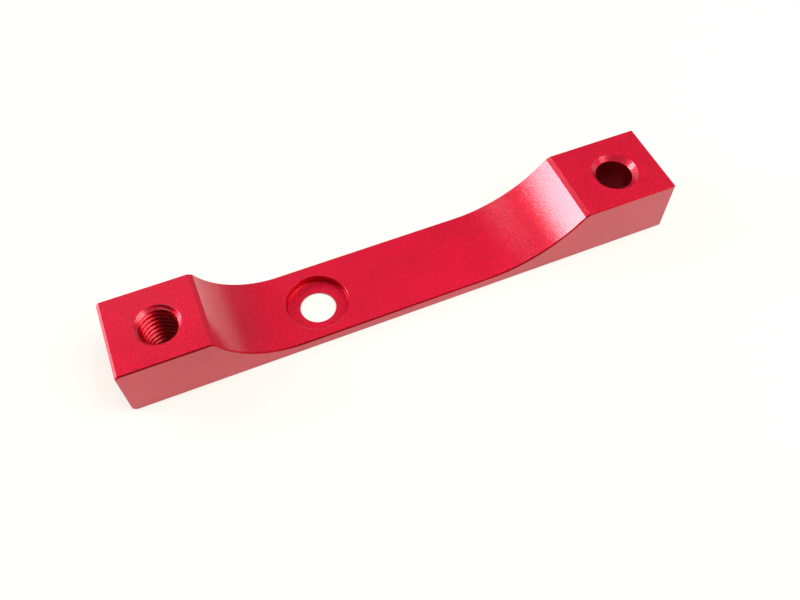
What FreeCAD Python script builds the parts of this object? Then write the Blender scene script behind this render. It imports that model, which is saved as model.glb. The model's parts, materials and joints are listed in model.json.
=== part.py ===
import FreeCAD, Part
import math
import os
import Sketcher

# ---------------------------------------------------------------------------
# Two-block adapter bar, CNC milled from one piece of aluminium bar, millimetres.
#
# A tall block stands at each end of a thin flat web. The tapped block is at -X
# and the plain block at +X. Each block falls to the web in one concave sweep, an
# arc tangent to the web's top, with a chamfer on the corner between the block's
# flat top and the sweep. The underside is one flat plane, which the bar rests on.
# Three vertical holes go through the bar: a tapped one in the block at -X, a
# counterbored one in the web and a plain countersunk one in the block at +X.
#
# Frame: X runs along the bar, Y across it and Z up. The origin is the centre of
# the footprint, on the underside.
# ---------------------------------------------------------------------------

NODE = "adapter_bar"

# Every size that can be set by itself is one row: name, millimetres, meaning.
DIMENSIONS = [
    ("bar_length", 134.0, "overall length, X"),
    ("bar_width", 20.0, "overall width, Y"),
    ("block_height", 14.7, "underside to the tops of the two blocks"),
    ("web_thickness", 2.8, "underside to the top of the web"),
    ("tapped_block_length", 21.1, "end face to the top of the sweep, block at -X"),
    ("tapped_sweep_radius", 20.3, "concave sweep from the tapped block to the web"),
    ("plain_block_length", 23.8, "end face to the top of the sweep, block at +X"),
    ("plain_sweep_radius", 30.8, "concave sweep from the plain block to the web"),
    ("sweep_chamfer", 0.7, "chamfer between each top and its sweep, along both"),
    ("end_chamfer", 0.7, "45 degree chamfers at the top and foot of the -X end"),
    ("hole_line_offset", 0.5, "the three holes sit this far to -Y of the middle"),
    ("tapped_hole_from_end", 11.3, "tapped hole axis from the -X end face"),
    ("tap_drill_diameter", 8.5, "M10 x 1.5 tapping bore, the thread's crests"),
    ("tap_countersink_diameter", 10.3, "90 degree countersink over the thread"),
    ("screw_hole_from_end", 46.15, "counterbored hole axis from the -X end face"),
    ("screw_clearance_diameter", 8.4, "clearance hole for an M8 screw"),
    ("counterbore_diameter", 14.6, "seat for the screw's low head"),
    ("seat_thickness", 0.65, "metal left under the screw's head"),
    ("plain_hole_from_end", 11.1, "plain hole axis from the +X end face"),
    ("plain_hole_diameter", 8.8, "plain bore, clearance for a shank"),
    ("plain_countersink_diameter", 11.2, "90 degree countersink over the bore"),
    ("top_edge_break", 0.3, "edge break round the upper outline"),
    ("foot_edge_break", 0.2, "edge break round the underside and its holes"),
    ("rim_edge_break", 0.2, "edge break at the mouth of the counterbore"),
]

doc = FreeCAD.newDocument("adapter_bar")

sheet = doc.addObject("Spreadsheet::Sheet", "dims")
value = {}
for row, (name, millimetres, meaning) in enumerate(DIMENSIONS, start=1):
    sheet.set(f"A{row}", name)
    sheet.set(f"B{row}", str(millimetres))
    sheet.set(f"C{row}", meaning)
    sheet.setAlias(f"B{row}", name)
    value[name] = millimetres
doc.recompute()

body = doc.addObject("PartDesign::Body", "adapter_bar_body")
body.Label = NODE


def origin_plane(role):
    """One of the body's own origin planes, found by its role."""
    return next(f for f in body.Origin.OriginFeatures if f.Role == role)


def recompute_checked(feature):
    """Recompute, and stop at once if the feature did not build."""
    doc.recompute()
    if "Invalid" in feature.State or "Error" in feature.State:
        raise RuntimeError(f"{feature.Name} did not build: {feature.State}")
    return feature


def named_constraint(sketch, name, constraint, expression):
    """Add a driving dimension to a sketch and bind it to the sheet."""
    index = sketch.addConstraint(constraint)
    sketch.renameConstraint(index, name)
    sketch.setExpression(f"Constraints.{name}", expression)


def point(x, y):
    return FreeCAD.Vector(x, y, 0)


# ---------------------------------------------------------------------------
# Side profile in the XZ plane: the whole silhouette of the bar, padded to both
# sides. The first values only place the geometry near its solution; the named
# constraints set it.
# ---------------------------------------------------------------------------
half = value["bar_length"] / 2
height = value["block_height"]
web = value["web_thickness"]
drop = height - web
left_radius = value["tapped_sweep_radius"]
right_radius = value["plain_sweep_radius"]
left_run = math.sqrt(left_radius ** 2 - (left_radius - drop) ** 2)
right_run = math.sqrt(right_radius ** 2 - (right_radius - drop) ** 2)
left_corner = -half + value["tapped_block_length"]
right_corner = half - value["plain_block_length"]

outline = [
    (-half, 0),
    (half, 0),
    (half, height),
    (right_corner, height),
    (right_corner - right_run, web),
    (left_corner + left_run, web),
    (left_corner, height),
    (-half, height),
]

profile = body.newObject("Sketcher::SketchObject", "side_profile")
profile.AttachmentSupport = (origin_plane("XZ_Plane"), [""])
profile.MapMode = "FlatFace"
doc.recompute()

names = [
    "underside",
    "plain_end",
    "plain_top",
    "plain_sweep",
    "web_top",
    "tapped_sweep",
    "tapped_top",
    "tapped_end",
]
edge = {}
for index, name in enumerate(names):
    start = point(*outline[index])
    finish = point(*outline[(index + 1) % len(outline)])
    if name == "plain_sweep":
        centre = point(outline[index + 1][0], web + right_radius)
        circle = Part.Circle(centre, FreeCAD.Vector(0, 0, 1), right_radius)
        arc = Part.ArcOfCircle(circle, 1.5 * math.pi, 1.5 * math.pi + math.asin(right_run / right_radius))
        edge[name] = profile.addGeometry(arc, False)
    elif name == "tapped_sweep":
        centre = point(outline[index][0], web + left_radius)
        circle = Part.Circle(centre, FreeCAD.Vector(0, 0, 1), left_radius)
        arc = Part.ArcOfCircle(circle, 1.5 * math.pi - math.asin(left_run / left_radius), 1.5 * math.pi)
        edge[name] = profile.addGeometry(arc, False)
    else:
        edge[name] = profile.addGeometry(Part.LineSegment(start, finish), False)

# An arc runs anticlockwise, from its end nearer -X to its end nearer +X, and the
# outline is walked the other way there, so its first point is the arc's end.
first = {name: 1 for name in names}
last = {name: 2 for name in names}
for name in ("plain_sweep", "tapped_sweep"):
    first[name], last[name] = 2, 1

constraint = Sketcher.Constraint
for index, name in enumerate(names):
    following = names[(index + 1) % len(names)]
    if {name, following} & {"web_top"} and {name, following} & {"plain_sweep", "tapped_sweep"}:
        # The sweeps run into the web without a corner.
        profile.addConstraint(
            constraint("Tangent", edge[name], last[name], edge[following], first[following])
        )
    else:
        profile.addConstraint(
            constraint("Coincident", edge[name], last[name], edge[following], first[following])
        )

for name in ("underside", "plain_top", "web_top", "tapped_top"):
    profile.addConstraint(constraint("Horizontal", edge[name]))
for name in ("plain_end", "tapped_end"):
    profile.addConstraint(constraint("Vertical", edge[name]))

AXES = -1  # Sketcher's index for its horizontal axis and, as point 1, its origin
named_constraint(
    profile, "half_length",
    constraint("DistanceX", edge["underside"], 1, AXES, 1, half), "dims.bar_length / 2",
)
named_constraint(
    profile, "full_length",
    constraint("DistanceX", edge["underside"], 1, edge["underside"], 2, 2 * half), "dims.bar_length",
)
profile.addConstraint(constraint("PointOnObject", edge["underside"], 1, AXES))
named_constraint(
    profile, "plain_height",
    constraint("DistanceY", edge["plain_end"], 1, edge["plain_end"], 2, height), "dims.block_height",
)
named_constraint(
    profile, "tapped_height",
    constraint("DistanceY", edge["tapped_end"], 2, edge["tapped_end"], 1, height), "dims.block_height",
)
named_constraint(
    profile, "web_height",
    constraint("DistanceY", AXES, 1, edge["web_top"], 1, web), "dims.web_thickness",
)
named_constraint(
    profile, "plain_block",
    constraint("DistanceX", edge["plain_top"], 2, edge["plain_top"], 1, half - right_corner),
    "dims.plain_block_length",
)
named_constraint(
    profile, "tapped_block",
    constraint("DistanceX", edge["tapped_top"], 2, edge["tapped_top"], 1, left_corner + half),
    "dims.tapped_block_length",
)
named_constraint(
    profile, "plain_radius",
    constraint("Radius", edge["plain_sweep"], right_radius), "dims.plain_sweep_radius",
)
named_constraint(
    profile, "tapped_radius",
    constraint("Radius", edge["tapped_sweep"], left_radius), "dims.tapped_sweep_radius",
)
recompute_checked(profile)
print("side profile: degrees of freedom left", profile.solve(), profile.FullyConstrained)

blank = body.newObject("PartDesign::Pad", "bar_blank")
blank.Profile = profile
blank.SideType = "Symmetric"
blank.setExpression("Length", "dims.bar_width")
recompute_checked(blank)
print("blank volume mm3", round(blank.Shape.Volume, 1))


# ---------------------------------------------------------------------------
# Edge finding. Edges are picked by where they lie, so a changed size picks the
# same edges again.
# ---------------------------------------------------------------------------
half_width = value["bar_width"] / 2
NEAR = 1e-4


def edge_names(shape, wanted):
    """Names of the edges of a shape for which wanted(box, edge) is true."""
    found = []
    for number, candidate in enumerate(shape.Edges, start=1):
        if wanted(candidate.BoundBox, candidate):
            found.append(f"Edge{number}")
    if not found:
        raise RuntimeError("no edge was found")
    return found


def at(low, high, level):
    """True if a box's two limits both lie at one level."""
    return abs(low - level) < NEAR and abs(high - level) < NEAR


def chamfer(name, base, edges, alias):
    """A chamfer of equal legs, one of the sheet's sizes, which must remove metal."""
    feature = body.newObject("PartDesign::Chamfer", name)
    feature.Base = (base, edges)
    feature.ChamferType = "Equal distance"
    feature.setExpression("Size", f"dims.{alias}")
    recompute_checked(feature)
    if feature.Shape.Volume >= base.Shape.Volume:
        raise RuntimeError(f"{name} removed nothing")
    print(name, len(edges), "edges, volume", round(feature.Shape.Volume, 1))
    return feature


# Chamfers on the corners where the two block tops meet their sweeps.
sweep_chamfers = chamfer(
    "sweep_chamfers",
    blank,
    edge_names(
        blank.Shape,
        lambda box, _: at(box.ZMin, box.ZMax, height)
        and (at(box.XMin, box.XMax, left_corner) or at(box.XMin, box.XMax, right_corner)),
    ),
    "sweep_chamfer",
)

# Chamfers across the -X end, at its top and at its foot.
end_chamfers = chamfer(
    "end_chamfers",
    sweep_chamfers,
    edge_names(
        sweep_chamfers.Shape,
        lambda box, _: at(box.XMin, box.XMax, -half)
        and (at(box.ZMin, box.ZMax, height) or at(box.ZMin, box.ZMax, 0)),
    ),
    "end_chamfer",
)


# ---------------------------------------------------------------------------
# The three holes, drilled down from the plane of the block tops.
# ---------------------------------------------------------------------------
def hole_sketch(name, x, expression, diameter):
    """One circle on the plane of the block tops, centred on a hole's axis."""
    sketch = body.newObject("Sketcher::SketchObject", name)
    sketch.AttachmentSupport = (origin_plane("XY_Plane"), [""])
    sketch.MapMode = "FlatFace"
    sketch.setExpression("AttachmentOffset.Base.z", "dims.block_height")
    doc.recompute()
    y = -value["hole_line_offset"]
    circle = Part.Circle(point(x, y), FreeCAD.Vector(0, 0, 1), value[diameter] / 2)
    sketch.addGeometry(circle, False)
    named_constraint(
        sketch, "along_bar",
        constraint("DistanceX", AXES, 1, 0, 3, x), expression,
    )
    named_constraint(
        sketch, "across_bar",
        constraint("DistanceY", AXES, 1, 0, 3, y), "-dims.hole_line_offset",
    )
    named_constraint(
        sketch, "drill",
        constraint("Diameter", 0, value[diameter]), f"dims.{diameter}",
    )
    return recompute_checked(sketch)


def drill(name, sketch, diameter):
    """A through hole down from a sketch, of one of the sheet's diameters."""
    before = body.Tip.Shape.Volume
    hole = body.newObject("PartDesign::Hole", name)
    hole.Profile = sketch
    doc.recompute()
    hole.ThreadType = "None"
    hole.DepthType = "ThroughAll"
    hole.setExpression("Diameter", f"dims.{diameter}")
    recompute_checked(hole)
    if hole.Shape.Volume >= before:
        raise RuntimeError(f"{name} cut nothing")
    return hole


def countersink(hole, diameter):
    """A 90 degree countersink at a hole's mouth."""
    hole.HoleCutType = "Countersink"
    hole.HoleCutCustomValues = True
    hole.HoleCutCountersinkAngle = 90
    hole.setExpression("HoleCutDiameter", f"dims.{diameter}")
    recompute_checked(hole)


tapped_hole_sketch = hole_sketch(
    "tapped_hole_centre",
    -half + value["tapped_hole_from_end"],
    "dims.tapped_hole_from_end - dims.bar_length / 2",
    "tap_drill_diameter",
)
tapped_hole = drill("tapped_hole", tapped_hole_sketch, "tap_drill_diameter")
countersink(tapped_hole, "tap_countersink_diameter")

plain_hole_sketch = hole_sketch(
    "plain_hole_centre",
    half - value["plain_hole_from_end"],
    "dims.bar_length / 2 - dims.plain_hole_from_end",
    "plain_hole_diameter",
)
plain_hole = drill("plain_hole", plain_hole_sketch, "plain_hole_diameter")
countersink(plain_hole, "plain_countersink_diameter")

# The counterbore's cutter comes down from above the blocks, so it also clears
# the foot of the sweep where that reaches under the rim.
screw_hole_sketch = hole_sketch(
    "screw_hole_centre",
    -half + value["screw_hole_from_end"],
    "dims.screw_hole_from_end - dims.bar_length / 2",
    "screw_clearance_diameter",
)
screw_hole = drill("screw_hole", screw_hole_sketch, "screw_clearance_diameter")
screw_hole.HoleCutType = "Counterbore"
screw_hole.HoleCutCustomValues = True
screw_hole.setExpression("HoleCutDiameter", "dims.counterbore_diameter")
screw_hole.setExpression("HoleCutDepth", "dims.block_height - dims.seat_thickness")
recompute_checked(screw_hole)
print("drilled volume mm3", round(screw_hole.Shape.Volume, 1))


# ---------------------------------------------------------------------------
# Edge breaks: the upper outline on both sides with the four upright corners and
# the +X end's top, then the underside with its three holes, then the mouth of
# the counterbore.
# ---------------------------------------------------------------------------
def on_side(box):
    return at(box.YMin, box.YMax, half_width) or at(box.YMin, box.YMax, -half_width)


top_break = chamfer(
    "upper_edge_break",
    screw_hole,
    edge_names(
        screw_hole.Shape,
        lambda box, _: (on_side(box) and not at(box.ZMin, box.ZMax, 0))
        or (at(box.XMin, box.XMax, half) and at(box.ZMin, box.ZMax, height)),
    ),
    "top_edge_break",
)

foot_break = chamfer(
    "foot_edge_break",
    top_break,
    edge_names(
        top_break.Shape,
        lambda box, _: at(box.ZMin, box.ZMax, 0) and box.XMin > -half + value["end_chamfer"] - NEAR,
    ),
    "foot_edge_break",
)

# The mouth of the counterbore is broken by a 45 degree cone turned about the
# hole's axis, as the tool does it, so it also meets the foot of the sweep and
# the broken edge of the side cleanly. Over the cone the cutter is a cylinder.
rim_sketch = body.newObject("Sketcher::SketchObject", "rim_cutter")
rim_sketch.AttachmentSupport = (origin_plane("XZ_Plane"), [""])
rim_sketch.MapMode = "FlatFace"
rim_sketch.setExpression("AttachmentOffset.Base.x", "dims.screw_hole_from_end - dims.bar_length / 2")
rim_sketch.setExpression("AttachmentOffset.Base.z", "dims.hole_line_offset")
doc.recompute()

rim_radius = value["counterbore_diameter"] / 2
rim_break = value["rim_edge_break"]
cutter = [
    (0, web - rim_break),
    (rim_radius, web - rim_break),
    (rim_radius + 2 * rim_break, web + rim_break),
    (rim_radius + 2 * rim_break, height),
    (0, height),
]
for index, corner in enumerate(cutter):
    following = cutter[(index + 1) % len(cutter)]
    rim_sketch.addGeometry(Part.LineSegment(point(*corner), point(*following)), False)
for index in range(len(cutter)):
    rim_sketch.addConstraint(constraint("Coincident", index, 2, (index + 1) % len(cutter), 1))
FOOT, CONE, WALL, LID, AXIS = range(5)
HOLE_AXIS = -2  # Sketcher's index for its vertical axis
rim_sketch.addConstraint(constraint("Horizontal", FOOT))
rim_sketch.addConstraint(constraint("Vertical", WALL))
rim_sketch.addConstraint(constraint("Horizontal", LID))
rim_sketch.addConstraint(constraint("PointOnObject", AXIS, 1, HOLE_AXIS))
rim_sketch.addConstraint(constraint("PointOnObject", AXIS, 2, HOLE_AXIS))
named_constraint(
    rim_sketch, "cone_foot_radius",
    constraint("DistanceX", FOOT, 1, FOOT, 2, rim_radius), "dims.counterbore_diameter / 2",
)
named_constraint(
    rim_sketch, "cone_foot_height",
    constraint("DistanceY", AXES, 1, FOOT, 2, web - rim_break), "dims.web_thickness - dims.rim_edge_break",
)
named_constraint(
    rim_sketch, "cone_across",
    constraint("DistanceX", CONE, 1, CONE, 2, 2 * rim_break), "2 * dims.rim_edge_break",
)
named_constraint(
    rim_sketch, "cone_up",
    constraint("DistanceY", CONE, 1, CONE, 2, 2 * rim_break), "2 * dims.rim_edge_break",
)
named_constraint(
    rim_sketch, "cutter_top",
    constraint("DistanceY", AXES, 1, LID, 1, height), "dims.block_height",
)
recompute_checked(rim_sketch)

rim_groove = body.newObject("PartDesign::Groove", "rim_edge_break")
rim_groove.Profile = rim_sketch
rim_groove.ReferenceAxis = (rim_sketch, ["V_Axis"])
rim_groove.Angle = 360
recompute_checked(rim_groove)
print("rim_edge_break volume", round(rim_groove.Shape.Volume, 1))
if rim_groove.Shape.Volume >= foot_break.Shape.Volume:
    raise RuntimeError("rim_edge_break removed nothing")

# ---------------------------------------------------------------------------
# Checks, then the STEP file.
# ---------------------------------------------------------------------------
doc.recompute()
for item in doc.Objects:
    if "Invalid" in item.State or "Error" in item.State:
        raise RuntimeError(f"{item.Name} is in state {item.State}")
shape = body.Shape
if shape.isNull() or not shape.isValid() or len(shape.Solids) != 1:
    raise RuntimeError("the bar is not one valid solid")
bounds = shape.BoundBox
print("box mm", round(bounds.XLength, 3), round(bounds.YLength, 3), round(bounds.ZLength, 3))
print("volume mm3", round(shape.Volume, 1), "area mm2", round(shape.Area, 1))

os.makedirs("parts", exist_ok=True)
shape.exportStep(f"parts/{body.Label}.step")
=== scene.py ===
# %% [markdown]
# # A red anodised adapter bar
#
# The bar is milled from one piece of aluminium, blasted with fine glass beads and
# dyed red by anodising. Its looks come from three things: crisp machined forms with
# small broken edges, a real cut thread, and a satin skin that is neither paint nor
# bare metal. This script makes the finishes first, then mills the bar in them, and
# last lights and frames it.

# %% Load the fixed frame
import json
import math

import bmesh
import bpy
from mathutils import Matrix, Vector


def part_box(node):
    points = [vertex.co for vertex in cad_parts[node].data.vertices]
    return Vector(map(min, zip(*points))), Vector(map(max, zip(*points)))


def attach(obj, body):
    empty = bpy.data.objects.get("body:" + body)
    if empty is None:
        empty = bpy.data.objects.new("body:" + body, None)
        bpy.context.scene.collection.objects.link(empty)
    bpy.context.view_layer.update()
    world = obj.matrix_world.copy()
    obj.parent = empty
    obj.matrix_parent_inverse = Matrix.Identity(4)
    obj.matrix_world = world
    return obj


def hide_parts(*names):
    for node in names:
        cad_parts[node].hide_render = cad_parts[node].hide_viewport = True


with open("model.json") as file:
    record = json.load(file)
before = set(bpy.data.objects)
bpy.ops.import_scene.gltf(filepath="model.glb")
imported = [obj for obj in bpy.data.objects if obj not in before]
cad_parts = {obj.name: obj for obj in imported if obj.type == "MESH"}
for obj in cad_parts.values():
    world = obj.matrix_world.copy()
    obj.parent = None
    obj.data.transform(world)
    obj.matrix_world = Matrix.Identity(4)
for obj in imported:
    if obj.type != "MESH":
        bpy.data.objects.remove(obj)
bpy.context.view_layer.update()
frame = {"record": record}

MM = 0.001  # the script thinks in millimetres, and Blender in metres
NODE = "adapter_bar"

# The bar is centred on the origin and stands on z = 0, so one corner sizes it.
half_length, half_width, block_height = (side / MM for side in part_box(NODE)[1])
print("bar, mm:", round(2 * half_length, 2), round(2 * half_width, 2), round(block_height, 2))

# %% [markdown]
# ## Sizes
#
# The frame gives the outer box, and the record's mounts give each hole's place and
# radius. The few sizes left over, such as the sweeps' radii and the broken edges,
# are the drawing's own, in millimetres. The tapped hole is at -X and the plain one
# at +X.

# %% The milled sizes
WEB = 2.8  # the thickness of the thin middle
TAPPED_BLOCK = 21.1  # from the end at -X to the sharp corner that its sweep aims at
TAPPED_SWEEP = 20.3  # the radius of that sweep
PLAIN_BLOCK = 23.8  # the same two sizes at +X
PLAIN_SWEEP = 30.8
SWEEP_CHAMFER = 0.7  # between each block's top and its sweep
END_CHAMFER = 0.7  # above and below the end at -X
TOP_BREAK = 0.3  # along every other edge, apart from those at the foot
FOOT_BREAK = 0.2
RIM_BREAK = 0.1  # round the counterbore
print("between the blocks, mm:", round(2 * half_length - TAPPED_BLOCK - PLAIN_BLOCK, 2))

# %% The holes' places
mounts = {mount["name"]: mount for mount in frame["record"]["mounts"]}


def hole(name):
    """A hole's centre (x, y) and wall radius, in millimetres."""
    mount = mounts[name]
    x, y, _ = mount["pos_m"]
    return x / MM, y / MM, mount["dims"]["r_mm"]


tapped_x, tapped_y, tap_radius = hole("tapped_hole")
plain_x, plain_y, plain_radius = hole("plain_hole")
screw_x, screw_y, screw_radius = hole("screw_hole")
counterbore_radius = hole("screw_counterbore")[2]
seat_height = mounts["screw_seat"]["pos_m"][2] / MM
print("holes at x =", round(tapped_x, 2), round(screw_x, 2), round(plain_x, 2),
      "radii", tap_radius, screw_radius, plain_radius)

# %% [markdown]
# ## The blasted finish
#
# Bead-blasted, red anodised aluminium. Blasting leaves a satin grain of tiny dents;
# anodising grows a clear, hard film over it, and the film holds the red dye. So
# light meets two layers. The film's surface sends back a little white light, most
# at a glancing angle, which turns steep faces pink; the rest goes through the dye to
# the metal and comes back deep red. Red paint would be duller and chalky, and red
# metal alone would lack the pale glances, so the base here is mostly metallic,
# under a clear coat.


# %% Start a finish
def new_finish(name, constants):
    """A material with the values that are the same all over it."""
    finish = bpy.data.materials.new(name)
    finish.use_nodes = True
    shader = finish.node_tree.nodes["Principled BSDF"]
    for socket, setting in constants.items():
        shader.inputs[socket].default_value = setting
    return finish


blasted = new_finish("bead_blasted_red_anodised_aluminium", {
    "Metallic": 0.75, "Coat Roughness": 0.19, "Coat IOR": 1.55,
})
print("finish:", blasted.name)

# %% The grit of the beads, and the clouds in the dye
GRIT = 0.4  # mm; real bead dents are nearer 0.1 mm, drawn coarser so that they show
CLOUD = 9.0  # mm; the dye takes a little unevenly over this distance
NOISE_LOW, NOISE_HIGH = 0.3, 0.7  # a noise seldom leaves this range


def add_node(tree, kind, inputs=None, **settings):
    """Add a node, set its properties, and set or link its inputs."""
    made = tree.nodes.new(kind)
    for name, setting in settings.items():
        setattr(made, name, setting)
    for key, source in (inputs or {}).items():
        socket = made.inputs[key]
        if isinstance(source, bpy.types.NodeSocket):
            tree.links.new(source, socket)
        else:
            socket.default_value = source
    return made


tree = blasted.node_tree
shader = tree.nodes["Principled BSDF"]
on_bar = add_node(tree, "ShaderNodeTexCoord").outputs
grit = add_node(tree, "ShaderNodeTexNoise", {
    "Vector": on_bar["Object"], "Scale": 1 / (GRIT * MM), "Detail": 2.0, "Roughness": 0.6,
}).outputs["Fac"]
cloud = add_node(tree, "ShaderNodeTexNoise", {
    "Vector": on_bar["Object"], "Scale": 1 / (CLOUD * MM), "Detail": 2.0, "Roughness": 0.5,
}).outputs["Fac"]
print("grains along the bar:", round(2 * half_length / GRIT))


# %% The dye
def hex_colour(text):
    """An sRGB hex colour as the linear RGBA that Blender's sockets hold."""
    channels = [int(text[start:start + 2], 16) / 255 for start in (1, 3, 5)]
    linear = [
        channel / 12.92 if channel <= 0.04045 else ((channel + 0.055) / 1.055) ** 2.4
        for channel in channels
    ]
    return (*linear, 1.0)


# Darker in the dents and lighter on the ridges between them.
dye = add_node(tree, "ShaderNodeValToRGB", {"Fac": grit})
ramp = dye.color_ramp
ramp.elements[0].position, ramp.elements[0].color = 0.28, hex_colour("#AC0021")
ramp.elements[1].position, ramp.elements[1].color = 0.72, hex_colour("#D40233")
middle = ramp.elements.new(0.5)
middle.color = hex_colour("#C0002A")
depth = add_node(tree, "ShaderNodeMapRange", {
    "Value": cloud, "From Min": NOISE_LOW, "From Max": NOISE_HIGH,
    "To Min": 0.94, "To Max": 1.05,
}).outputs["Result"]
uneven = add_node(tree, "ShaderNodeVectorMath", {
    0: dye.outputs["Color"], "Scale": depth,
}, operation="SCALE").outputs["Vector"]
tree.links.new(uneven, shader.inputs["Base Color"])
print("middle red, linear:", [round(channel, 3) for channel in middle.color[:3]])

# %% The satin dents
satin = add_node(tree, "ShaderNodeMapRange", {
    "Value": grit, "From Min": NOISE_LOW, "From Max": NOISE_HIGH,
    "To Min": 0.50, "To Max": 0.60,
}).outputs["Result"]
dents = add_node(tree, "ShaderNodeBump", {
    "Height": grit, "Strength": 0.6, "Distance": 0.06 * MM,
}).outputs["Normal"]
tree.links.new(satin, shader.inputs["Roughness"])
tree.links.new(dents, shader.inputs["Normal"])
tree.links.new(dents, shader.inputs["Coat Normal"])
print("blasted finish:", len(tree.nodes), "nodes before the film")

# %% The clear film
# Painted shade: the film is thinned on level faces, which holds down the window's glare on
# the tops.
FILM, GLARE_DIMMED_FILM = 1.0, 0.08
LEVEL_FROM = 0.88  # cosine of the slope, 28 degrees, from which a face counts as level
upward = add_node(tree, "ShaderNodeSeparateXYZ", {0: on_bar["Normal"]}).outputs["Z"]
film = add_node(tree, "ShaderNodeMapRange", {
    "Value": upward, "From Min": LEVEL_FROM, "From Max": 1.0,
    "To Min": FILM, "To Max": GLARE_DIMMED_FILM,
}).outputs["Result"]
tree.links.new(film, shader.inputs["Coat Weight"])
print("blasted finish:", len(tree.nodes), "nodes")

# %% [markdown]
# ## The machined finish
#
# The same dyed aluminium where the beads didn't work on it: they hardly reach the
# upright walls of the holes. Such a cut face is smoother, darker and more like bare
# metal, and keeps the fine level rings of the tool's feed. The fine broken edges get
# this finish too, as painted shade: it draws a thin dark line along them. The rings
# could be real grooves in the mesh, but they are far finer than its facets, so a wave
# in the bump gives them. Each tool below carries the finish that it leaves behind.

# %% Machined red anodised aluminium
FEED = 0.3  # mm; a cutter feeds about 0.1 mm a turn, drawn coarser so that it shows
WAVE_LENGTH = math.pi / 10  # how far one wave of the node's pattern runs at a scale of 1

machined_and_edge_shade = new_finish("machined_red_anodised_aluminium", {
    "Metallic": 1.0, "Coat Weight": 0.3, "Coat Roughness": 0.2, "Coat IOR": 1.5,
})
tree = machined_and_edge_shade.node_tree
shader = tree.nodes["Principled BSDF"]
place = add_node(tree, "ShaderNodeTexCoord").outputs["Object"]
rings = add_node(tree, "ShaderNodeTexWave", {
    "Vector": place, "Scale": WAVE_LENGTH / (FEED * MM), "Distortion": 0.6, "Detail": 2.0,
}, wave_type="BANDS", bands_direction="Z").outputs["Fac"]
dye = add_node(tree, "ShaderNodeValToRGB", {"Fac": rings})
dye.color_ramp.elements[0].color = hex_colour("#AE0618")
dye.color_ramp.elements[1].color = hex_colour("#C2081E")
sheen = add_node(tree, "ShaderNodeMapRange", {
    "Value": rings, "To Min": 0.34, "To Max": 0.42,
}).outputs["Result"]
ridges = add_node(tree, "ShaderNodeBump", {
    "Height": rings, "Strength": 0.3, "Distance": 0.01 * MM,
}).outputs["Normal"]
tree.links.new(dye.outputs["Color"], shader.inputs["Base Color"])
tree.links.new(sheen, shader.inputs["Roughness"])
tree.links.new(ridges, shader.inputs["Normal"])
print("finish:", machined_and_edge_shade.name, "with", len(tree.nodes), "nodes")

# %% [markdown]
# ## The side outline
#
# Seen from the side, the bar is one closed outline: straight lines and two arcs
# tangent to the web. It could be drawn as a curve and filled, but then the broken
# edges would need a bevel, which guesses at every corner. A list of points worked
# out from the sizes can be shrunk by an exact amount instead, and a shrunk outline
# at each side face, joined to the full outline a little further in, is a chamfer.


# %% The two sweeps
def sweep(centre_x, radius, slope, steps=44):
    """Points of a concave sweep from the web up to a slope, in radians; a negative
    slope rises towards -X."""
    turns = [slope * step / steps for step in range(steps + 1)]
    return [
        (centre_x + radius * math.sin(turn), WEB + radius * (1 - math.cos(turn)))
        for turn in turns
    ]


def sweep_end(corner_x, radius, side):
    """Where a sweep meets the web, and its slope where its chamfer starts. The
    sweep aims at the sharp corner at corner_x; side is the way it rises."""
    full = math.acos(1 - (block_height - WEB) / radius)
    centre_x = corner_x - side * radius * math.sin(full)
    return centre_x, side * (full - SWEEP_CHAMFER / radius)


plain_corner = half_length - PLAIN_BLOCK
tapped_corner = -half_length + TAPPED_BLOCK
plain_centre, plain_slope = sweep_end(plain_corner, PLAIN_SWEEP, 1)
tapped_centre, tapped_slope = sweep_end(tapped_corner, TAPPED_SWEEP, -1)
print("flat web from x =", round(tapped_centre, 2), "to", round(plain_centre, 2))

# %% The closed outline
outline = [
    (half_length - FOOT_BREAK, 0),
    (half_length, FOOT_BREAK),
    (half_length, block_height - TOP_BREAK),
    (half_length - TOP_BREAK, block_height),
    (plain_corner + SWEEP_CHAMFER, block_height),
    *reversed(sweep(plain_centre, PLAIN_SWEEP, plain_slope)),
    *sweep(tapped_centre, TAPPED_SWEEP, tapped_slope),
    (tapped_corner - SWEEP_CHAMFER, block_height),
    (-half_length + END_CHAMFER, block_height),
    (-half_length, block_height - END_CHAMFER),
    (-half_length, END_CHAMFER),
    (-half_length + END_CHAMFER, 0),
]
on_foot = [
    z <= FOOT_BREAK and next_z <= FOOT_BREAK
    for (_, z), (_, next_z) in zip(outline, outline[1:] + outline[:1])
]
print("outline:", len(outline), "points,", sum(on_foot), "edges at the foot")

# %% Shrinking the outline
STRAIGHT = 1e-6  # two edges that turn less than this are one straight run


def shrunk(points, insets):
    """The outline with each edge moved inwards by its own inset."""
    moved = []
    for index, point in enumerate(points):
        here = Vector(point)
        before = (here - Vector(points[index - 1])).normalized()
        after = (Vector(points[(index + 1) % len(points)]) - here).normalized()
        # The moved corner lies at its own inset from both edges.
        turn = before.cross(after)
        first, second = insets[index - 1], insets[index]
        if abs(turn) < STRAIGHT:
            moved.append(here + Vector((-before.y, before.x)) * first)
        else:
            moved.append(here + (after * first - before * second) / turn)
    return moved


def side_outline(top_inset, foot_inset):
    insets = [foot_inset if foot else top_inset for foot in on_foot]
    return shrunk(outline, insets)


highest = max(z for _, z in side_outline(TOP_BREAK, FOOT_BREAK))
print("outline's height, full and shrunk:", round(block_height, 2), round(highest, 2))

# %% [markdown]
# ## The milled blank
#
# The solid bar before its holes. An extruded outline with a Bevel modifier would be
# quicker to make, but the breaks at the foot are smaller than those at the top. So
# six copies of the outline stand across the bar: three near each side face, where
# the two breaks begin and end. Quads join them, and a flat face closes each side.
# The breaks beside the side faces, apart from those at the foot, get the machined finish as
# painted shade: it draws a dark line along the edges.


# %% A closed skin through loops of points
def new_object(name, data):
    made = bpy.data.objects.new(name, data)
    bpy.context.scene.collection.objects.link(made)
    return made


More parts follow.
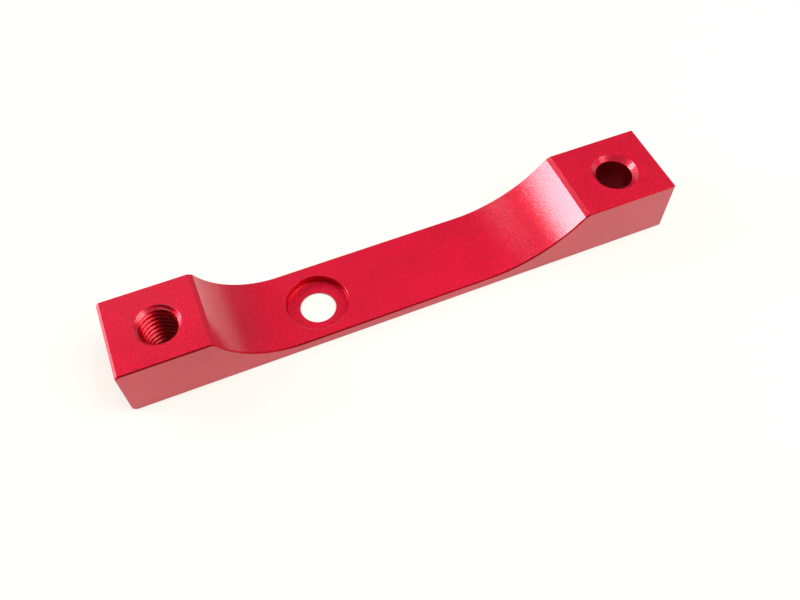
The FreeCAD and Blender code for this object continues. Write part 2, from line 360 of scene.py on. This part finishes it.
def closed_skin(name, loops, cut_face_or_edge_shade):
    """A solid through loops of (x, y, z) points, in millimetres: quads join each
    loop to the next, and a flat face closes each end. cut_face_or_edge_shade says which
    finish the quads of a strip between two loops have, at each step round it."""
    work = bmesh.new()
    rings = [
        [work.verts.new([distance * MM for distance in point]) for point in loop]
        for loop in loops
    ]
    for strip, (near, far) in enumerate(zip(rings, rings[1:])):
        for step in range(len(near)):
            after = (step + 1) % len(near)
            face = work.faces.new((near[step], near[after], far[after], far[step]))
            face.material_index = int(cut_face_or_edge_shade(strip, step))
    work.faces.new(reversed(rings[0]))
    work.faces.new(rings[-1])
    bmesh.ops.recalc_face_normals(work, faces=work.faces)
    mesh = bpy.data.meshes.new(name)
    work.to_mesh(mesh)
    work.free()
    mesh.materials.append(blasted)
    mesh.materials.append(machined_and_edge_shade)
    print(name, "has", len(mesh.polygons), "faces")
    return new_object(name, mesh)


# %% Build the blank
stations = [  # y, then how far the outline is shrunk there at the top and at the foot
    (half_width, TOP_BREAK, FOOT_BREAK),
    (half_width - FOOT_BREAK, TOP_BREAK - FOOT_BREAK, 0),
    (half_width - TOP_BREAK, 0, 0),
]
rows = [(-y, top, foot) for y, top, foot in stations] + list(reversed(stations))
MIDDLE_STRIP = 2  # the other strips are the breaks beside the two side faces

blank = closed_skin(
    "milled_blank",
    [[(x, y, z) for x, z in side_outline(top, foot)] for y, top, foot in rows],
    # The breaks beside the side faces take the machined finish as painted shade, a dark line
    # along the edges.
    lambda strip, step: strip != MIDDLE_STRIP and not on_foot[step],
)

# %% [markdown]
# ## Tools for the two smooth holes
#
# A drill, a countersink or a counterbore leaves the shape of the turning tool. The
# holes could be joined from cylinders and cones, but one solid of revolution for
# each hole is simpler: a few (radius, height) corners turned about the hole's axis.
# The tool's cones run on past the metal, so that the cut never has to share a face
# with the blank. The beads do reach the wide cones and the counterbore's floor, so
# those get the blasted finish, and the rest of each hole the machined one.

# %% Turned cutters
PAST = 0.6  # how far a tool runs on past the metal
AROUND = 128  # facets round a hole
# The counterbore's rim break is narrow, so it takes the machined finish, partly as painted
# shade: a dark line round the rim.
NARROW = 0.3  # a cone or floor narrower than this keeps the cutter's finish


def turned_cutter(name, centre, corners):
    """A closed solid of revolution from (radius, height) corners, foot first."""
    angles = [2 * math.pi * step / AROUND for step in range(AROUND)]
    loops = [
        [
            (centre[0] + radius * math.cos(angle), centre[1] + radius * math.sin(angle), z)
            for angle in angles
        ]
        for radius, z in corners
    ]

    def cut_face_or_edge_shade(strip, _):
        lower, upper = corners[strip], corners[strip + 1]
        return lower[0] == upper[0] or math.dist(lower, upper) < NARROW

    return closed_skin(name, loops, cut_face_or_edge_shade)


facet = 2 * math.pi * counterbore_radius / AROUND
print("widest facet, mm:", round(facet, 2))

# %% The plain hole's tool
PLAIN_COUNTERSINK = 5.6  # radius at the top; it slopes at 45 degrees
plain_depth = PLAIN_COUNTERSINK - plain_radius
plain_tool = turned_cutter("plain_tool", (plain_x, plain_y), [
    (plain_radius + FOOT_BREAK + PAST, -PAST),
    (plain_radius, FOOT_BREAK),
    (plain_radius, block_height - plain_depth),
    (PLAIN_COUNTERSINK + PAST, block_height + PAST),
])

# %% The screw hole's tool
CORNER = 0.12  # the nose radius that a counterboring tool leaves round the seat
nose = [
    (
        counterbore_radius - CORNER + CORNER * math.sin(math.radians(angle)),
        seat_height + CORNER - CORNER * math.cos(math.radians(angle)),
    )
    for angle in range(0, 91, 15)
]
screw_tool = turned_cutter("screw_tool", (screw_x, screw_y), [
    (screw_radius + FOOT_BREAK + PAST, -PAST),
    (screw_radius, FOOT_BREAK),
    (screw_radius, seat_height),
    *nose,
    (counterbore_radius, WEB - RIM_BREAK),
    (counterbore_radius + 2 * RIM_BREAK, WEB + RIM_BREAK),
    (counterbore_radius + 2 * RIM_BREAK, block_height + PAST),
])

# %% [markdown]
# ## The thread
#
# A helix could be swept by the Screw modifier, but its two ends would then need
# closing by hand. A thread also follows a rule: its radius depends only on how far a
# point is along the helix. So Geometry Nodes start from a plain cylinder and move
# every point to the radius that the M10 x 1.5 rule gives it. Crests are flat for a
# quarter of the pitch, flanks slope at 30 degrees, and the two cones at the ends win
# wherever they are wider, which is how a real thread fades into its countersink.

# %% The thread's sizes
THREAD_SIZES = {
    "Crest radius": tap_radius,
    "Root radius": 5.0,
    "Pitch": 1.5,
    "Countersink radius": 5.15,
    "Foot radius": tap_radius + FOOT_BREAK,
    "Top": block_height,
    "Past": PAST,
}
THREAD_COUNTS = {"Facets around": 96, "Rings per turn": 24}
print("turns in the block:", round(block_height / THREAD_SIZES["Pitch"], 1))

# %% The thread's rule
THREAD_RULE = [  # each line names a value, the sum that makes it, and what goes in
    ("length", "MULTIPLY_ADD", "Past", 2.0, "Top"),
    ("turns", "DIVIDE", "length", "Pitch"),
    ("rings wanted", "MULTIPLY", "turns", "Rings per turn"),
    ("rings", "CEIL", "rings wanted"),
    # How far a point is from the middle of the nearest crest, in pitches.
    ("z", "MULTIPLY_ADD", "Top", 0.5, "z from middle"),
    ("pitches up", "DIVIDE", "z", "Pitch"),
    ("angle", "ARCTAN2", "y", "x"),
    ("turn", "DIVIDE", "angle", 2 * math.pi),
    ("along", "SUBTRACT", "pitches up", "turn"),
    ("nearest crest", "ROUND", "along"),
    ("off crest", "SUBTRACT", "along", "nearest crest"),
    ("distance", "ABSOLUTE", "off crest"),
    # A crest is flat for an eighth of a pitch each way, then its flank slopes away.
    ("past flat", "SUBTRACT", "distance", 1 / 8),
    ("on flank", "MAXIMUM", "past flat", 0.0),
    ("steepness", "MULTIPLY", "Pitch", math.sqrt(3)),
    ("cut", "MULTIPLY_ADD", "on flank", "steepness", "Crest radius"),
    ("groove", "MINIMUM", "cut", "Root radius"),
    # The countersink widens upwards and the foot's break downwards, at 45 degrees.
    ("below top", "SUBTRACT", "z", "Top"),
    ("countersink", "ADD", "Countersink radius", "below top"),
    ("foot", "SUBTRACT", "Foot radius", "z"),
    ("cones", "MAXIMUM", "countersink", "foot"),
    ("radius", "MAXIMUM", "groove", "cones"),
    ("is thread", "GREATER_THAN", "groove", "cones"),
]
print("steps in the rule:", len(THREAD_RULE))

# %% Work the rule out in nodes
tree = bpy.data.node_groups.new("thread_cutter", "GeometryNodeTree")
for name, default in {**THREAD_SIZES, **THREAD_COUNTS}.items():
    kind = "NodeSocketInt" if name in THREAD_COUNTS else "NodeSocketFloat"
    socket = tree.interface.new_socket(name=name, in_out="INPUT", socket_type=kind)
    socket.default_value = default
tree.interface.new_socket(name="Geometry", in_out="OUTPUT", socket_type="NodeSocketGeometry")

given = add_node(tree, "NodeGroupInput").outputs
value = {socket.name: socket for socket in given if socket.name}
position = add_node(tree, "GeometryNodeInputPosition").outputs[0]
apart = add_node(tree, "ShaderNodeSeparateXYZ", {0: position}).outputs
value.update(zip(("x", "y", "z from middle"), apart))
for name, operation, *terms in THREAD_RULE:
    inputs = {index: value.get(term, term) for index, term in enumerate(terms)}
    value[name] = add_node(tree, "ShaderNodeMath", inputs, operation=operation).outputs[0]
print("thread tree:", len(tree.nodes), "nodes for the rule")

# %% Move a rod's points by the rule
rod = add_node(tree, "GeometryNodeMeshCylinder", {
    "Vertices": value["Facets around"], "Side Segments": value["rings"],
    "Radius": 1.0, "Depth": value["length"],
})
# Which faces are thread is noted while the rod is still straight.
noted = add_node(tree, "GeometryNodeCaptureAttribute", {
    "Geometry": rod.outputs["Mesh"],
}, domain="FACE")
noted.capture_items.new("BOOLEAN", "thread")
tree.links.new(value["is thread"], noted.inputs["thread"])
straight = add_node(tree, "ShaderNodeCombineXYZ", {
    0: value["x"], 1: value["y"], 2: value["z"],
})
spread = add_node(tree, "ShaderNodeCombineXYZ", {
    0: value["radius"], 1: value["radius"], 2: 1.0,
})
threaded = add_node(tree, "ShaderNodeVectorMath", {
    0: straight.outputs[0], 1: spread.outputs[0],
}, operation="MULTIPLY")
metres = add_node(tree, "ShaderNodeVectorMath", {
    0: threaded.outputs[0], "Scale": MM,
}, operation="SCALE")
moved = add_node(tree, "GeometryNodeSetPosition", {
    "Geometry": noted.outputs["Geometry"], "Position": metres.outputs[0],
})
print("thread tree:", len(tree.nodes), "nodes with the rod")

# %% Give the thread its finish
# The cones stay blasted, and the thread between them is machined.
solid = add_node(tree, "GeometryNodeRealizeInstances", {"Geometry": moved.outputs[0]})
cones = add_node(tree, "GeometryNodeSetMaterial", {
    "Geometry": solid.outputs[0], "Material": blasted,
})
dressed = add_node(tree, "GeometryNodeSetMaterial", {
    "Geometry": cones.outputs[0], "Selection": noted.outputs["thread"], "Material": machined_and_edge_shade,
})
add_node(tree, "NodeGroupOutput", {0: dressed.outputs[0]})
print("thread tree:", len(tree.nodes), "nodes in all")


# %% Turn the tree into a solid tool
def plain_mesh(source, name):
    """The evaluated mesh of an object, as a mesh of its own."""
    bpy.context.view_layer.update()
    graph = bpy.context.evaluated_depsgraph_get()
    mesh = bpy.data.meshes.new_from_object(source.evaluated_get(graph))
    mesh.name = name
    return mesh


holder = new_object("thread_holder", bpy.data.meshes.new("thread_holder"))
nodes_modifier = holder.modifiers.new("thread", "NODES")
nodes_modifier.node_group = tree
sockets = [item for item in tree.interface.items_tree if item.in_out == "INPUT"]
identifier = {socket.name: socket.identifier for socket in sockets}
for name, wanted in {**THREAD_SIZES, **THREAD_COUNTS}.items():
    nodes_modifier[identifier[name]] = wanted
thread_mesh = plain_mesh(holder, "thread_tool")
thread_mesh.transform(Matrix.Translation((tapped_x * MM, tapped_y * MM, 0)))
bpy.data.objects.remove(holder)
thread_tool = new_object("thread_tool", thread_mesh)
print("thread tool:", len(thread_mesh.polygons), "faces")

# %% [markdown]
# ## Cutting the holes
#
# The three tools are subtracted from the blank with exact booleans, as the machine
# does it, and the cut faces take the tools' finishes. A mesh with the holes in it
# could be drawn face by face instead, but the thread meets the countersink along a
# line that only a boolean finds. Faces that meet at less than 20 degrees are shaded
# as one smooth surface, and weighted normals keep the big flats flat beside their
# narrow chamfers.


# %% Cut
def cut(body, tools):
    for tool in tools:
        modifier = body.modifiers.new(tool.name, "BOOLEAN")
        modifier.operation = "DIFFERENCE"
        modifier.solver = "EXACT"
        modifier.material_mode = "TRANSFER"
        modifier.object = tool
    mesh = plain_mesh(body, NODE)
    for unused in [body, *tools]:
        bpy.data.objects.remove(unused)
    return mesh


bar_mesh = cut(blank, [plain_tool, screw_tool, thread_tool])
print("bar:", len(bar_mesh.polygons), "faces as cut")

# %% Clean and mark the edges
WELD = 0.0005  # points nearer than this are one
SMOOTH_BELOW = 20  # degrees


def tidy(mesh):
    """Merge doubles, triangulate the big flats cleanly and mark the sharp edges."""
    work = bmesh.new()
    work.from_mesh(mesh)
    bmesh.ops.remove_doubles(work, verts=work.verts, dist=WELD * MM)
    bmesh.ops.dissolve_degenerate(work, dist=WELD * MM, edges=work.edges)
    open_edges = [edge for edge in work.edges if not edge.is_manifold]
    for face in work.faces:
        face.smooth = True
    for edge in work.edges:
        edge.smooth = edge.calc_face_angle(math.pi) < math.radians(SMOOTH_BELOW)
    many = [face for face in work.faces if len(face.verts) > 4]
    bmesh.ops.triangulate(work, faces=many, quad_method="BEAUTY", ngon_method="BEAUTY")
    work.to_mesh(mesh)
    work.free()
    return len(open_edges)


print("open edges:", tidy(bar_mesh))

# %% Weight the normals
draft = new_object("bar_draft", bar_mesh)
weighting = draft.modifiers.new("weighting", "WEIGHTED_NORMAL")
weighting.mode = "FACE_AREA"
weighting.keep_sharp = True
finished_mesh = plain_mesh(draft, "milled_bar")
bpy.data.objects.remove(draft)
bar = new_object("milled_bar", finished_mesh)
triangles = sum(len(face.vertices) - 2 for face in finished_mesh.polygons)
print("milled bar:", triangles, "triangles")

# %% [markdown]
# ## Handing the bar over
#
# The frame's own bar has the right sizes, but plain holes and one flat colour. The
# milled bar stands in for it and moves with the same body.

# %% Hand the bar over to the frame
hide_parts(NODE)
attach(bar, "root")
print("finishes:", [finish.name for finish in bar.data.materials])

# %% [markdown]
# ## The table
#
# The bar lies on plain white laminate. A curved paper backdrop would hide the
# horizon, but from above a wide flat table is enough. Its own matt white takes the
# bar's shadow, and most of what a direct look meets is an even glow, which keeps it
# white without more light on the bar. The glow fades where the bar hides the sky:
# a painted shadow that darkens the table close round and under the bar.

# %% Matt white laminate
DIRECT_GLOW = 0.8  # how much of a direct look meets the glow
GLOW = 0.96  # 1 is white
REACH = 12  # mm; how far up the table looks for something over it
OPEN = (0.1, 0.5)  # the shares of open sky at which the glow begins and is full

laminate = new_finish("matt_white_laminate", {
    "Base Color": hex_colour("#F4F4F1"), "Roughness": 0.8,
})
tree = laminate.node_tree
path = add_node(tree, "ShaderNodeLightPath").outputs
seen = add_node(tree, "ShaderNodeMath", {
    0: path["Is Camera Ray"], 1: path["Is Glossy Ray"],
}, operation="MAXIMUM").outputs[0]
seen = add_node(tree, "ShaderNodeMath", {
    0: seen, 1: path["Is Transmission Ray"],
}, operation="MAXIMUM").outputs[0]
share = add_node(tree, "ShaderNodeMath", {0: seen, 1: DIRECT_GLOW}, operation="MULTIPLY")
# Painted shadow: the glow dims where the bar hides the sky.
sky = add_node(tree, "ShaderNodeAmbientOcclusion", {"Distance": REACH * MM}, samples=8)
glow_with_painted_shadow = add_node(tree, "ShaderNodeMapRange", {
    "Value": sky.outputs["AO"], "From Min": OPEN[0], "From Max": OPEN[1],
    "To Min": 0.0, "To Max": GLOW,
})
glow = add_node(tree, "ShaderNodeEmission", {
    "Color": hex_colour("#FFFCF3"), "Strength": glow_with_painted_shadow.outputs["Result"],
})
mixed = add_node(tree, "ShaderNodeMixShader", {
    0: share.outputs[0], 1: tree.nodes["Principled BSDF"].outputs[0], 2: glow.outputs[0],
})
tree.links.new(mixed.outputs[0], tree.nodes["Material Output"].inputs["Surface"])
print("laminate:", len(tree.nodes), "nodes")

# %% The table
HALF_TABLE = 3.0  # metres
GAP = 0.02  # mm, so that the table and the bar's underside don't share a plane

corners = [(-1, -1), (1, -1), (1, 1), (-1, 1)]
table_mesh = bpy.data.meshes.new("white_table")
table_mesh.from_pydata(
    [(x * HALF_TABLE, y * HALF_TABLE, -GAP * MM) for x, y in corners], [], [(0, 1, 2, 3)]
)
table_mesh.materials.append(laminate)
table = new_object("white_table", table_mesh)
print("table:", 2 * HALF_TABLE, "m square")

# %% [markdown]
# ## The light
#
# The bar lies in a bright room. One wide soft light is low behind it on the left,
# and the room gets darker towards the right and overhead, so the tall faces and the
# sweeps each mirror a different brightness. Three more lamps fill in from above and
# from the right. Glossy metal shows what is round it, so an even white room would
# make it flat, and lamps alone would leave its dark sides black.

# %% The room
# A height here is the sine of the angle above level: 0 is level, 1 is straight up.
PALE, DIM = 0.9, 0.08  # the brightness of the walls, and of the ceiling
CEILING = (0.45, 0.68)  # heights at which the walls end and the ceiling is fully dim
LOW = (0.06, 0.2)  # below the first height no wall is shaded, and above the second all are
SHADES = {  # direction, cosines where the shade begins and is full, and how much is left
    "right_side": ((0.92, 0.06, 0.39), 0.62, 0.85, 0.12),
    "front": ((0.2, -0.83, 0.52), 0.72, 0.92, 0.4),
}

room = bpy.data.worlds.new("bright_room")
room.use_nodes = True
tree = room.node_tree
outward = add_node(tree, "ShaderNodeTexCoord").outputs["Generated"]
height = add_node(tree, "ShaderNodeSeparateXYZ", {0: outward}).outputs["Z"]
level = add_node(tree, "ShaderNodeMapRange", {
    "Value": height, "From Min": CEILING[0], "From Max": CEILING[1],
    "To Min": PALE, "To Max": DIM,
}, interpolation_type="SMOOTHSTEP").outputs["Result"]
low = add_node(tree, "ShaderNodeMapRange", {
    "Value": height, "From Min": LOW[0], "From Max": LOW[1], "To Min": 1.0, "To Max": 0.0,
}, interpolation_type="SMOOTHSTEP").outputs["Result"]
print("room:", len(tree.nodes), "nodes before the shades")

# %% The shaded walls
for towards, begins, full, left in SHADES.values():
    near = add_node(tree, "ShaderNodeVectorMath", {
        0: outward, 1: towards,
    }, operation="DOT_PRODUCT").outputs["Value"]
    shade = add_node(tree, "ShaderNodeMapRange", {
        "Value": near, "From Min": begins, "From Max": full, "To Min": 1.0, "To Max": left,
    }, interpolation_type="SMOOTHSTEP").outputs["Result"]
    share = add_node(tree, "ShaderNodeMath", {0: shade, 1: low}, operation="MAXIMUM")
    level = add_node(tree, "ShaderNodeMath", {
        0: level, 1: share.outputs[0],
    }, operation="MULTIPLY").outputs[0]
background = tree.nodes["Background"]
background.inputs["Color"].default_value = hex_colour("#FFFFFF")
tree.links.new(level, background.inputs["Strength"])
bpy.context.scene.world = room
print("room:", len(tree.nodes), "nodes")

# %% The soft lights
LAMP_DISTANCE = 900  # mm from the bar


def soft_light(name, compass, height, size, power, colour="#FFFFFF"):
    """A soft light turned to the bar. The compass angle runs from straight behind
    the bar towards its right; both angles are in degrees, and the size in mm."""
    light = bpy.data.lights.new(name, "AREA")
    light.shape = "RECTANGLE"
    light.size, light.size_y = (side * MM for side in size)
    light.energy = power
    light.color = hex_colour(colour)[:3]
    lamp = new_object(name, light)
    compass, height = math.radians(compass), math.radians(height)
    away = Vector((
        math.sin(compass) * math.cos(height),
        math.cos(compass) * math.cos(height),
        math.sin(height),
    ))
    lamp.location = away * LAMP_DISTANCE * MM
    lamp.rotation_euler = away.to_track_quat("Z", "Y").to_euler()
    lamp.visible_camera = False
    print("light:", name, power, "W")


soft_light("window", -59, 21, (280, 620), 8.2, "#FFF6FF")
soft_light("ceiling_strip", -10, 47, (300, 260), 0.9)
soft_light("fill", 116, 48, (700, 600), 8.0)
soft_light("overhead", 100, 76, (400, 400), 3.8)

# %% [markdown]
# ## The camera
#
# The camera looks down at the bar from the front and a little to the left, from
# close by, so the near block looks larger than the far one. It could be aimed with
# a Track To constraint, but that leaves no roll. So it is placed by the point aimed
# at, the direction and tilt of the view, the distance and the roll.

# %% Place the camera
AIM = Vector((-2.248, -5.730, 0))
DISTANCE = 195.011
AZIMUTH, ELEVATION, ROLL = (math.radians(angle) for angle in (22.251, 56.670, -0.403))
SENSOR, LENS = 36, 37.008  # the sensor's width and the focal length, in millimetres
NEAREST = 0.005  # metres; what is nearer than this isn't drawn

forward = Vector((
    math.sin(AZIMUTH) * math.cos(ELEVATION),
    math.cos(AZIMUTH) * math.cos(ELEVATION),
    -math.sin(ELEVATION),
))
level_right = forward.cross(Vector((0, 0, 1))).normalized()
level_up = level_right.cross(forward)
right = level_right * math.cos(ROLL) + level_up * math.sin(ROLL)
up = right.cross(forward)
camera = new_object("camera", bpy.data.cameras.new("camera"))
camera.data.sensor_width = SENSOR
camera.data.lens = LENS
camera.data.clip_start = NEAREST
camera.rotation_euler = Matrix((right, up, -forward)).transposed().to_euler()
camera.location = (AIM - forward * DISTANCE) * MM
bpy.context.scene.camera = camera
bpy.context.scene.view_settings.view_transform = "Standard"
print("camera at", [round(c, 4) for c in camera.location])
